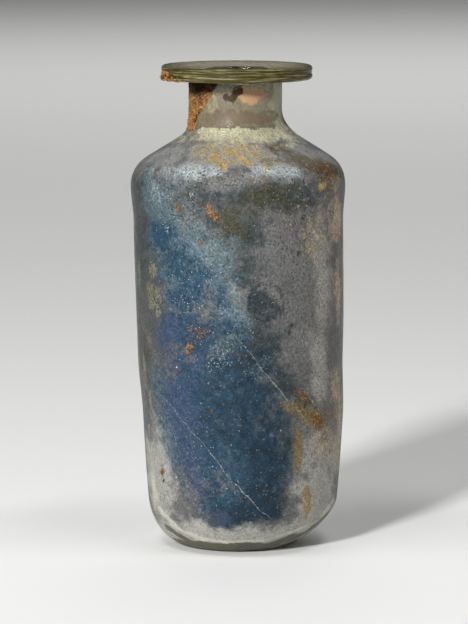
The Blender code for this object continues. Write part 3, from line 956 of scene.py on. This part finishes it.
def liftedSkin(curve, looks):
    # curve at even steps + normal * lift, turned about the bottle's axis, and the steps' lengths
    curve, even = evenly(curve, lengthAlong(curve), looks["rows"])
    lifted = curve + outwardNormals(curve) * looks["lift"]
    azimuth = ringAzimuths(looks["columns"])
    return lifted, even, azimuth, inPlace(lifted[:, :1], lifted[:, 1:], azimuth)


def makeFilm():
    # the outside from the foot to the neck's top
    curve = np.vstack([outside[13:], neckCurve(neckFoot)[-1:]])
    lifted, even, azimuth, grid = liftedSkin(curve, filmLooks)
    azimuth, height = np.broadcast_arrays(azimuth, lifted[:, 1:])
    mesh = gridMesh("weatheringFilm", grid, masks=filmMasks(grid, azimuth, height))
    finished(mesh, makeFilmMaterial())


# thin brown and olive skin on the rim

rimSkinLooks = {
    "rows": 110,
    "columns": 360,
    "lift": 0.00003,
    "edgeWidth": 0.0016,
    "topFade": 0.0030,
    "topDepth": 0.0012,
    "streakStretch": 0.025,
    "edge": (rgb(0.010, 0.008, 0.0004), rgb(0.072, 0.057, 0.004)),
    "top": (rgb(0.018, 0.014, 0.004), rgb(0.10, 0.083, 0.034)),
    # the top's light streaks and the edge's glints are painted highlights
    "topHighlightStreaks": rgb(0.34, 0.30, 0.19),
    "glints": rgb(0.40, 0.35, 0.19),
    "specks": rgb(0.40, 0.30, 0.17),
}


def makeRimMaterial():
    # streaks along the rim, with painted highlight glints on its edge, and a blotched top paler from its
    # painted highlight streaks
    material, tree, shader, place = newMaterial("rimSkin")
    parts = addNode(tree, "ShaderNodeSeparateXYZ", {0: place})
    slow = [times(tree, parts.outputs[i], rimSkinLooks["streakStretch"]) for i in (0, 1)]
    along = addNode(tree, "ShaderNodeCombineXYZ", {0: slow[0], 1: slow[1], 2: maskNamed(tree, "ring")})
    streaks = grain(tree, along.outputs[0], 0.0005, 4.0, 1.8)
    blotches = grain(tree, place, 0.006, 5.0, 1.8)
    fine = grain(tree, place, 0.0007, 5.0, 2.0)
    # glints: painted highlights along the edge's streaks
    glints = timesPlus(tree, grain(tree, along.outputs[0], 0.00035, 3.0, 5.0), 2.6, -1.5, clamp=True)
    edge = colourMix(tree, streaks, *rimSkinLooks["edge"])
    edge = colourMix(tree, times(tree, glints, blotches), edge, rimSkinLooks["glints"])
    top = colourMix(tree, blotches, *rimSkinLooks["top"])
    top = colourMix(tree, times(tree, streaks, 0.8), top, rimSkinLooks["topHighlightStreaks"])
    colour = colourMix(tree, maskNamed(tree, "top"), edge, top)
    specks = speckle(tree, place, 0.0011, 0.30, 0.20)[0]
    dress(tree, shader, timesPlus(tree, streaks, 0.9, times(tree, fine, 0.2)), 0.0003, 0.7, {
        "Base Color": colourMix(tree, times(tree, specks, 0.7), colour, rimSkinLooks["specks"]),
        "Roughness": timesPlus(tree, fine, 0.20, 0.10),
        "Specular IOR Level": 0.2,
        "Alpha": timesPlus(tree, blotches, 0.08, 0.91, clamp=True),
    })
    return material


def makeRimSkin():
    # the rim's outline from its underside to the mouth
    r = rimSkinLooks
    lifted, even, azimuth, grid = liftedSkin(rimCurve(underside)[4:-3], r)
    inward = bottleSizes["rimRadius"] - r["edgeWidth"] - lifted[:, :1]
    top = smoothStep(inward / r["topFade"]) * (lifted[:, 1:] > rimTop - r["topDepth"]) + 0.0 * azimuth
    mesh = gridMesh("rimSkin", grid, masks={"top": top, "ring": even[:, None] + 0.0 * azimuth})
    finished(mesh, makeRimMaterial())


# soil and grains

def surfaceAt(azimuth, height, lift=0.0):
    # a point of the outside at that azimuth and height, lifted along the outline's normal
    curve = np.vstack([footToNeck, neckCurve(neckFoot)])
    normals = outwardNormals(curve)
    radius = np.interp(height, curve[:, 1], curve[:, 0])
    out = np.interp(height, curve[:, 1], normals[:, 0])
    up = np.interp(height, curve[:, 1], normals[:, 1])
    raised = np.stack([np.zeros_like(up), np.zeros_like(up), lift * up], -1)
    return inPlace(radius + lift * out, height + 0.0 * lift, azimuth) + raised


def grainMesh(name, middles, sizes, tones, generator):
    # an icosahedron for each grain: middle + corner * chance * stretch * size
    golden = (1.0 + math.sqrt(5.0)) / 2.0
    corners = np.array([
        (-1, golden, 0), (1, golden, 0), (-1, -golden, 0), (1, -golden, 0), (0, -1, golden), (0, 1, golden),
        (0, -1, -golden), (0, 1, -golden), (golden, 0, -1), (golden, 0, 1), (-golden, 0, -1), (-golden, 0, 1),
    ]) / math.sqrt(1.0 + golden**2)
    faces = np.array([
        (0, 11, 5), (0, 5, 1), (0, 1, 7), (0, 7, 10), (0, 10, 11), (1, 5, 9), (5, 11, 4), (11, 10, 2),
        (10, 7, 6), (7, 1, 8), (3, 9, 4), (3, 4, 2), (3, 2, 6), (3, 6, 8), (3, 8, 9), (4, 9, 5), (2, 4, 11),
        (6, 2, 10), (8, 6, 7), (9, 8, 1),
    ])
    count = len(middles)
    jitter = 1.0 + generator.uniform(-0.3, 0.3, (count, 12, 1))
    stretch = generator.uniform(0.7, 1.3, (count, 1, 3))
    points = middles[:, None, :] + corners[None] * jitter * stretch * sizes[:, None, None]
    allFaces = (faces[None] + 12 * np.arange(count)[:, None, None]).reshape(-1, 3)
    mesh = bpy.data.meshes.new(name)
    mesh.from_pydata(points.reshape(-1, 3).tolist(), [], allFaces.tolist())
    layer = mesh.attributes.new("tone", "FLOAT", "POINT")
    layer.data.foreach_set("value", np.repeat(tones, 12).astype(np.float32))
    return mesh


def makeSoilMaterial():
    # near-black at tone 0, and from rust to sand by fine grain at tone 1
    material, tree, shader, place = newMaterial("burialSoil")
    fine = grain(tree, place, 0.0004, 5.0, 2.0)
    sandy = colourMix(tree, fine, rgb(0.16, 0.060, 0.012), rgb(0.82, 0.43, 0.16))
    dress(tree, shader, fine, 0.00025, 0.8, {
        "Base Color": colourMix(tree, maskNamed(tree, "tone"), rgb(0.018, 0.009, 0.003), sandy),
        "Roughness": 0.92,
        "Specular IOR Level": 0.2,
    })
    return material


soilShape = {
    # azimuths of the wedge's edges and tip, its length and depth, and the ends and counts of its grid
    "left": -118.0,
    "rightTop": -24.0,
    "tip": -66.0,
    "length": 0.0149,
    "depth": 0.0008,
    "lumpSize": 0.0028,
    "gridEnds": (-128.0, -14.0, 210),
    "gridDrops": (0.0185, 0.0001, 110),
    "trimUnder": 0.04,
    "grains": 3200,
    "grainEnds": (-122.0, -22.0),
    "grainDrops": (0.0002, 0.0175),
    "grainSizes": (0.00010, 0.00034),
}


def neckSoilMask(azimuth, height, noise):
    # 1 inside the wedge, 0 outside, from the distance to its two leaning sides and its end
    s = soilShape
    share = np.clip((underside - height) / s["length"], 0.0, 1.3)
    right = mix(s["rightTop"], s["tip"], np.clip(share, 0, 1) ** 0.7)
    left = mix(s["left"], s["tip"] - 26.0, share)
    side = np.minimum(right - azimuth, azimuth - left) / 7.0
    end = (1.0 - share) * s["length"] / 0.0012
    return smoothStep(0.5 + 0.5 * (np.minimum(side, end) + 2.2 * noise))


def makeNeckSoil(material):
    # the wall lifted by depth * mask * (0.55 + lumps), without the points where the mask ends
    s = soilShape
    first, last, rows = s["gridDrops"]
    heights = np.linspace(underside - first, underside - last, rows)
    azimuth, height = np.meshgrid(np.linspace(*s["gridEnds"]), heights)
    flat = surfaceAt(azimuth, height)
    noise = fractalNoise(flat, s["lumpSize"], 5, 4)
    lumps = fractalNoise(flat, 0.0011, 9, 3)
    mask = neckSoilMask(azimuth, height, noise)
    grid = surfaceAt(azimuth, height, s["depth"] * mask * (0.55 + 0.9 * lumps + 0.3 * noise) - 0.00003)
    down = (underside - height) / s["length"]
    # tone falls to near-black towards the rim's underside: painted shade under the rim
    tone = smoothStep((down - 0.16 + 0.5 * noise) / 0.40) * (0.50 + 1.3 * lumps)
    mesh = gridMesh("neckSoil", grid, closeAround=False, masks={"tone": np.clip(tone, 0.0, 1.0)})
    bare = mask.reshape(-1) < s["trimUnder"]

    def trim(work):
        # without the points where the mask is all but 0
        work.verts.ensure_lookup_table()
        bmesh.ops.delete(work, geom=[v for v in work.verts if bare[v.index]], context="VERTS")

    finished(reworked(mesh, trim), material)


def makeNeckGrains(material, generator):
    # random places on the wall, kept where a random number is under the mask
    s = soilShape
    tries = s["grains"] * 3
    azimuth = generator.uniform(*s["grainEnds"], tries)
    height = underside - generator.uniform(*s["grainDrops"], tries)
    noise = fractalNoise(surfaceAt(azimuth, height), s["lumpSize"], 5, 4)
    mask = neckSoilMask(azimuth, height, noise)
    kept = np.flatnonzero(generator.uniform(0, 1, tries) < mask - 0.2)[:s["grains"]]
    sizes = generator.uniform(*s["grainSizes"], len(kept))
    lift = s["depth"] * mask[kept] * generator.uniform(0.45, 0.85, len(kept))
    middles = surfaceAt(azimuth[kept], height[kept], lift)
    down = (underside - height[kept]) / s["length"]
    # tone falls to near-black towards the rim's underside: painted shade under the rim
    tone = smoothStep((down - 0.10 + 0.35 * noise[kept]) / 0.35) * generator.uniform(0.15, 1.0, len(kept))
    mesh = grainMesh("neckSoilGrains", middles, sizes, tone, generator)
    finished(mesh, material)


spots = [
    # azimuth, height, half width, half height in mm, lean, number of grains, tone
    (-33, 108.4, 0.8, 0.8, 0, 60, 0.7), (-15, 108.0, 0.9, 1.6, 15, 110, 1.0),
    (-12, 105.8, 0.6, 1.4, 20, 60, 0.9), (-21, 97.9, 0.5, 0.7, 0, 26, 0.9),
    (-28, 66.2, 0.8, 0.9, 0, 70, 0.9), (-29, 64.2, 0.7, 0.9, 0, 60, 0.6), (14, 118, 0.6, 0.6, 0, 26, 0.8),
    (-55, 25, 0.6, 0.9, 0, 30, 0.5), (-17, 46.5, 0.5, 0.7, 0, 20, 0.4), (-22, 70, 3.0, 1.6, 20, 60, 0.9),
    (-28, 72, 3.0, 1.4, 0, 30, 0.9), (-54, 22.5, 0.4, 0.6, 0, 16, 0.4), (150, 96, 1.0, 0.8, 0, 60, 0.9),
    (-140, 60, 1.1, 1.4, 20, 90, 0.8), (120, 40, 0.9, 1.2, 0, 60, 0.8), (36, 50, 3.2, 1.2, -35, 90, 0.55),
    (46, 42, 4.0, 2.2, -25, 120, 0.6), (56, 118, 5.0, 3.0, 0, 140, 0.4),
]
spotLooks = {
    "grainSizes": (0.00009, 0.00024),
    "lift": 0.00010,
    "heap": 0.00032,
    "toneSpread": 0.30,
    "toneShare": 0.72,
}


def makeSpots(material, generator):
    # heaps of grains: random places about each middle, raised more where they are close to it
    s = spotLooks
    middles, sizes, tones = [], [], []
    for azimuth, height, wide, tall, lean, count, tone in spots:
        spread = generator.normal(0.0, 0.55, (count, 2)) * (wide, tall)
        turn = math.radians(lean)
        x = spread[:, 0] * math.cos(turn) - spread[:, 1] * math.sin(turn)
        y = spread[:, 0] * math.sin(turn) + spread[:, 1] * math.cos(turn)
        close = np.exp(-np.sum((spread / (wide, tall)) ** 2, axis=1))
        sparse = min(0.9, 10.0 * wide * tall / count)
        lift = s["lift"] + s["heap"] * close * (1.0 - sparse)
        middles.append(surfaceAt(azimuth + np.degrees(x / patchRadius), (height + y) / 1000.0, lift))
        sizes.append(generator.uniform(*s["grainSizes"], count))
        toned = generator.normal(tone, s["toneSpread"], count) * s["toneShare"]
        tones.append(np.clip(toned, 0.05, 1.0))
    sizes, tones = np.concatenate(sizes), np.concatenate(tones)
    mesh = grainMesh("soilSpots", np.vstack(middles), sizes, tones, generator)
    finished(mesh, material)


paleSpots = [
    # azimuth, height in mm, number of grains and spread in mm
    # the first four, on the blister, are painted glints
    (12, 79.9, 3, 0.08), (18, 79.8, 3, 0.08), (18, 82.2, 3, 0.08), (14.5, 77.0, 2, 0.08),
    (-42, 101.4, 14, 0.6), (-25, 112.7, 16, 0.6), (-37, 59.1, 6, 0.2), (-18, 54.9, 6, 0.2),
    (-23, 48.5, 5, 0.2), (-13, 60.5, 20, 1.2), (-9, 65.0, 24, 1.5), (-40, 111, 12, 1.0),
    (-3, 24.6, 5, 0.15), (3, 20.0, 4, 0.12), (-20, 78, 20, 3.0), (-32, 88, 16, 3.0), (-16, 90, 16, 3.0),
    (-30, 80, 16, 3.0), (0, 34, 16, 8.0), (-14, 30, 16, 8.0),
]
paleLooks = {
    "lift": 0.00006,
    "smallest": 0.00007,
    "growth": 0.00014,
    "colours": (rgb(0.30, 0.36, 0.38), rgb(0.78, 0.80, 0.76)),
}


def makePaleSpots(generator):
    # pale glassy grains, most of them small: smallest + growth * chance^2.5; those on the blister are painted
    # glints
    p = paleLooks
    middles, sizes = [], []
    for azimuth, height, count, spread in paleSpots:
        off = generator.normal(0.0, spread, (count, 2))
        turned = azimuth + np.degrees(off[:, 0] / patchRadius)
        middles.append(surfaceAt(turned, (height + off[:, 1]) / 1000.0, np.full(count, p["lift"])))
        sizes.append(p["smallest"] + p["growth"] * generator.uniform(0, 1, count) ** 2.5)
    sizes = np.concatenate(sizes)
    mesh = grainMesh("paleSpots", np.vstack(middles), sizes, np.ones(len(sizes)), generator)
    material, tree, shader, place = newMaterial("paleGrain")
    fine = grain(tree, place, 0.0006, 4.0, 2.0)
    dress(tree, shader, fine, 0.0001, 0.4, {
        "Base Color": colourMix(tree, fine, *p["colours"]),
        "Roughness": timesPlus(tree, fine, 0.25, 0.12),
    })
    finished(mesh, material)


rimSoilLooks = {
    "grains": 520,
    "middle": -70.0,
    "spread": 9.0,
    "thickest": -72.0,
    "reach": 17.0,
    "height": 0.0030,
    "grainSizes": (0.00014, 0.00040),
    "darkShare": 0.28,
}


def makeRimSoil(material, generator):
    # grains on the left end of the rim's edge, thinning towards both ends by exp(-(azimuth / reach)^2)
    r = rimSoilLooks
    count = r["grains"]
    azimuth = generator.normal(r["middle"], r["spread"], count)
    thinned = np.exp(-(((azimuth - r["thickest"]) / r["reach"]) ** 2))
    up = mix(-0.0001, generator.uniform(0.0, r["height"], count), thinned)
    edge = bottleSizes["rimRadius"] - 0.0001 + generator.uniform(-0.0008, 0.0003, count)
    middles = inPlace(edge, underside + up + 0.0001, azimuth)
    sizes = generator.uniform(*r["grainSizes"], count)
    dark = generator.uniform(0, 1, count) < r["darkShare"]
    tones = np.where(dark, 0.05, generator.uniform(0.4, 1.0, count))
    mesh = grainMesh("rimSoil", middles, sizes, tones, generator)
    finished(mesh, material)


# hair cracks and scratches

hairCracks = [
    # width in mm, then azimuth and height of its points
    (0.30, [(-54, 51.5), (-52, 49.9), (-46, 47.8), (-41, 45.3), (-36, 42.2), (-31, 40.2), (-26, 37.6)]),
    (0.34, [
        (-26, 37.6), (-22, 35.3), (-19, 33.6), (-16, 31.4), (-10, 27.4), (-5, 23.7), (-1, 21.6), (4, 18.9),
        (9, 15.6), (17, 12.2),
    ]),
    (0.22, [(-4, 70.5), (3, 66.1), (8, 62.6), (11.5, 59.6)]),
    (0.38, [(10, 60.6), (11.5, 59.6), (15.5, 56.8), (20, 53.8), (27, 48.6), (30, 46.6)]),
    (0.26, [(30, 46.6), (33, 45.4), (38, 42.6), (46, 40.0), (60, 38.3)]),
    (0.14, [(-46, 41), (-43, 38), (-41, 35), (-38, 32)]),
    (0.14, [(1, 80.0), (3, 83.4), (7, 85.6), (13, 86.4), (18, 84.6), (21, 81.6), (23, 78.0), (23.5, 75.0)]),
    (0.12, [(1, 78.6), (5, 76.6), (9, 74.6), (14, 72.4), (20, 70.6), (24, 70.0)]),
    (0.12, [(22, 85.4), (28, 82.4), (33, 78.0)]),
    (0.12, [(-60, 117), (-56, 115.4), (-52, 114.6)]),
]
crackLooks = {
    "degreeInMm": 0.56,
    "step": 0.35,
    "swayStep": 2.2,
    "edgeLift": 0.00004,
    "middleLift": 0.00011,
    "colours": (rgb(0.08, 0.10, 0.10), rgb(0.42, 0.44, 0.40)),
}


def crackRows(wide, path, generator):
    # a line through the path that sways and shakes by chance, and its two sides half a width away
    c = crackLooks
    scale = np.array([c["degreeInMm"], 1.0])
    path = np.array(path)
    length = lengthAlong(path * scale)
    count = max(12, int(length[-1] / c["step"]))
    line, even = evenly(path, length, count)
    line += generator.normal(0.0, 0.05, line.shape) * (1.8, 1.0)
    stations = np.arange(0.0, even[-1] + 3.0, c["swayStep"])
    sway = np.interp(even, stations, generator.normal(0.0, 0.16, len(stations)))
    line += sway[:, None] * (1.5, 0.9)
    way = np.gradient(line * scale, axis=0)
    way /= np.linalg.norm(way, axis=1, keepdims=True)
    fade = np.sin(np.pi * np.linspace(0.04, 0.96, count)) ** 0.4
    half = wide / 2 * fade * generator.uniform(0.35, 1.2, count)
    left = half[:, None] * np.stack([-way[:, 1] / c["degreeInMm"], way[:, 0]], 1)
    rows = []
    for side, lift in ((-1, c["edgeLift"]), (0, c["middleLift"]), (1, c["edgeLift"])):
        moved = line + side * left
        rows.append(surfaceAt(moved[:, 0], moved[:, 1] / 1000.0, np.full(count, lift)))
    return np.stack(rows, 1).reshape(-1, 3)


def makeCracks():
    # a ribbon of two quads a step, with a raised middle, along each path
    generator = np.random.default_rng(21)
    corners, quads, start = [], [], 0
    for wide, path in hairCracks:
        rows = crackRows(wide, path, generator)
        first = start + np.arange(0, len(rows) - 3, 3)[:, None, None]
        quads.append((first + np.array([[0, 3, 4, 1], [1, 4, 5, 2]])).reshape(-1, 4))
        corners.append(rows)
        start += len(rows)
    mesh = bpy.data.meshes.new("hairCracks")
    mesh.from_pydata(np.vstack(corners).tolist(), [], np.vstack(quads).tolist())
    material, tree, shader, place = newMaterial("hairCrack")
    fine = grain(tree, place, 0.0008, 4.0, 2.0)
    dress(tree, shader, fine, 0.0001, 0.5, {
        "Base Color": colourMix(tree, fine, *crackLooks["colours"]),
        "Roughness": timesPlus(tree, fine, 0.3, 0.3),
        "Alpha": timesPlus(tree, fine, 1.1, 0.05, clamp=True),
    })
    finished(mesh, material)


# studio

studio = {
    "target": (-0.0013, 0.0, 0.0727),
    "distance": 1.063,
    "pitch": 7.65,
    "lens": 196.0,
    "floorHalf": 9.0,
    "floorTone": rgb(0.80, 0.80, 0.79),
    # frontTone: painted shade on the floor near the camera
    "frontTone": rgb(0.25, 0.25, 0.25),
    "behind": rgb(0.12, 0.12, 0.118),
    "inFront": rgb(0.035, 0.035, 0.035),
}
lamps = {
    # azimuth, elevation and metres from the target, then width, height and power
    "overheadLeft": (-52.0, 66.0, 1.0, 0.44, 0.12, 2.4),
    "overheadRight": (50.0, 68.0, 1.0, 0.38, 0.10, 2.0),
    "key": (-27.0, 25.0, 2.2, 0.26, 0.26, 58.0),
    "fill": (80.0, 20.0, 1.4, 0.40, 0.80, 1.9),
    "backdrop": (172.0, 35.0, 2.9, 3.0, 1.0, 28.0),
}


def pointTowards(thing, target):
    # turned so that its own -Z looks at the target
    way = Vector(target) - thing.location
    thing.rotation_euler = way.to_track_quat("-Z", "Y").to_euler()


def makeCamera():
    # target + distance * (0, -cos pitch, sin pitch)
    data = bpy.data.cameras.new("camera")
    data.lens = studio["lens"]
    data.sensor_width = 36.0
    data.clip_end = 50.0
    camera = bpy.data.objects.new("camera", data)
    pitch = math.radians(studio["pitch"])
    back = Vector((0.0, -math.cos(pitch), math.sin(pitch)))
    camera.location = Vector(studio["target"]) + back * studio["distance"]
    pointTowards(camera, studio["target"])
    bpy.context.scene.collection.objects.link(camera)
    bpy.context.scene.camera = camera


def makeLamps():
    # target + distance * direction; the backdrop's lamp looks straight down
    for name, (azimuth, elevation, distance, wide, tall, power) in lamps.items():
        data = bpy.data.lights.new(name, "AREA")
        data.shape = "RECTANGLE"
        data.size, data.size_y, data.energy = wide, tall, power
        lamp = bpy.data.objects.new(name, data)
        a, e = math.radians(azimuth), math.radians(elevation)
        way = Vector((math.sin(a) * math.cos(e), -math.cos(a) * math.cos(e), math.sin(e)))
        lamp.location = Vector(studio["target"]) + way * distance
        down = lamp.location - Vector((0.0, 0.0, 1.0))
        pointTowards(lamp, down if name == "backdrop" else studio["target"])
        bpy.context.scene.collection.objects.link(lamp)


def blendAlongY(tree, place, start, end, first, second):
    # first colour before the start, second after the end, with a smooth step between
    parts = addNode(tree, "ShaderNodeSeparateXYZ", {0: place})
    edges = {0: parts.outputs[1], 1: start, 2: end}
    share = addNode(tree, "ShaderNodeMapRange", edges, interpolation_type="SMOOTHSTEP").outputs[0]
    return colourMix(tree, share, first, second)


def makeFloor():
    # one large square, darker where it comes near the camera: painted shade
    mesh = bpy.data.meshes.new("studioFloor")
    half = studio["floorHalf"]
    corners = [(-half, -half, 0.0), (half, -half, 0.0), (half, half, 0.0), (-half, half, 0.0)]
    mesh.from_pydata(corners, [], [(0, 1, 2, 3)])
    material, tree, shader, place = newMaterial("paleFloor")
    tone = blendAlongY(tree, place, -1.0, -0.25, studio["frontTone"], studio["floorTone"])
    fillAll(tree, shader, {"Base Color": tone, "Roughness": 0.7})
    mesh.materials.append(material)
    floor = bpy.data.objects.new("studioFloor", mesh)
    bpy.context.scene.collection.objects.link(floor)


def makeWorld():
    # dark in front of the bottle and light behind it
    world = bpy.data.worlds.new("studioWorld")
    world.use_nodes = True
    tree = world.node_tree
    way = addNode(tree, "ShaderNodeTexCoord").outputs["Generated"]
    tone = blendAlongY(tree, way, -0.8, 0.8, studio["inFront"], studio["behind"])
    tree.links.new(tone, tree.nodes["Background"].inputs[0])
    bpy.context.scene.world = world
    bpy.context.scene.view_settings.view_transform = "Standard"


makeCamera()
makeLamps()
makeFloor()
makeWorld()
print("studio: camera, lamps, floor and surroundings are in place")
makeShell()
print("glass: the shell stands for the bottle")
makeFilm()
makeRimSkin()
print("film: the weathering lies on the glass and the rim")
soil = makeSoilMaterial()
chance = np.random.default_rng(7)
makeNeckSoil(soil)
makeNeckGrains(soil, chance)
makeRimSoil(soil, chance)
makeSpots(soil, chance)
makePaleSpots(chance)
print("soil: neck crust, rim crust and spots are in place")
makeCracks()
print("cracks: hair lines are in place")
